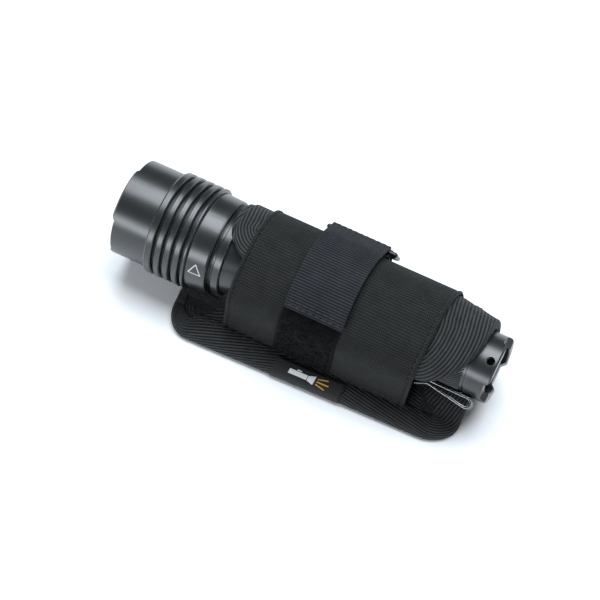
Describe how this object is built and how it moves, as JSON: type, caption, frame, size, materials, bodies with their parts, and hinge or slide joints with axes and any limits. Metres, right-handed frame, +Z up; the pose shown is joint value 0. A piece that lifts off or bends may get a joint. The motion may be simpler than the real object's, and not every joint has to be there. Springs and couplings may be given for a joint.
{
  "type": "tactical flashlight",
  "caption": "Black tactical flashlight with a finned head, crenellated bezel and tail switch, carried in a padded belt holster with an elastic band and cinch strap.",
  "frame": {"origin": "on the surface the holster rests on, below the light's axis at half the light's length", "axes": "+X along the light from the lens to the tail switch, +Z up, +Y away from the holster's flat wing"},
  "size_m": [0.1656, 0.0596, 0.0529],
  "materials": {
    "anodised_aluminium": "satin",
    "seal_rubber": "matte",
    "button_rubber": "matte",
    "lens_glass": "polished",
    "reflector_mirror": "polished",
    "copper_board": "satin",
    "led_phosphor": "gloss",
    "white_plastic": "matte",
    "circuit_board": "satin",
    "ferrite": "matte",
    "brass": "satin",
    "spring_steel": "satin",
    "clip_steel": "satin",
    "cell_steel": "satin",
    "cell_wrap": "gloss",
    "switch_plastic": "matte",
    "pad_fabric": "woven",
    "binding_tape": "herringbone",
    "elastic_knit": "ribbed",
    "loop_pile": "pile",
    "strap_webbing": "ribbed",
    "hook_tape": "hooked",
    "ring_enamel": "gloss",
    "label_satin": "satin"
  },
  "bodies": {
    "holster": {"holster_pad": "pad_fabric", "wing_binding": "binding_tape", "flap_binding": "binding_tape", "elastic_band": "elastic_knit", "loop_strip": "loop_pile", "strap_ring": "ring_enamel", "ring_tab": "strap_webbing", "label": "label_satin", "belt_loop": "strap_webbing"},
    "light": {"bezel": "anodised_aluminium", "bezel_o_ring": "seal_rubber", "lens": "lens_glass", "reflector": "reflector_mirror", "led_board": "copper_board", "led_emitter": "led_phosphor", "led_centring_ring": "white_plastic", "head_shell": "anodised_aluminium", "neck_ring": "anodised_aluminium", "driver_board": "circuit_board", "driver_inductor": "ferrite", "driver_chips": "ferrite", "driver_retaining_ring": "brass", "positive_contact": "brass", "battery_tube": "anodised_aluminium", "front_o_ring": "seal_rubber", "rear_o_ring": "seal_rubber", "pocket_clip": "clip_steel"},
    "battery": {"battery_can": "cell_steel", "battery_wrap": "cell_wrap", "battery_button_top": "cell_steel"},
    "tail_cap": {"tail_cap": "anodised_aluminium", "tail_spring": "spring_steel", "tail_board": "circuit_board", "tail_retaining_ring": "brass", "switch_body": "switch_plastic"},
    "tail_button": {"tail_button": "button_rubber", "switch_pusher": "switch_plastic"},
    "strap": {"strap_end": "strap_webbing", "hook_patch": "hook_tape"}
  },
  "joints": [
    {"name": "light_draw", "type": "slide", "parent": "holster", "child": "light", "axis": [-1, 0, 0], "range_m": [0, 0.125]},
    {"name": "tail_cap_off", "type": "slide", "parent": "light", "child": "tail_cap", "axis": [1, 0, 0], "range_m": [0, 0.1]},
    {"name": "battery_out", "type": "slide", "parent": "light", "child": "battery", "axis": [1, 0, 0], "range_m": [0, 0.08]},
    {"name": "button_press", "type": "slide", "parent": "tail_cap", "child": "tail_button", "axis": [-1, 0, 0], "range_m": [0, 0.0015], "stiffness_N_per_m": 600},
    {"name": "strap_peel", "type": "hinge", "parent": "holster", "child": "strap", "pos_m": [0.01039, 0.02182, 0.0396], "axis": [-1, 0, 0], "range_deg": [0, 150]}
  ],
  "couplings": [
    {"joint": "battery_out", "follows": "tail_cap_off", "ratio": 0.8}
  ]
}
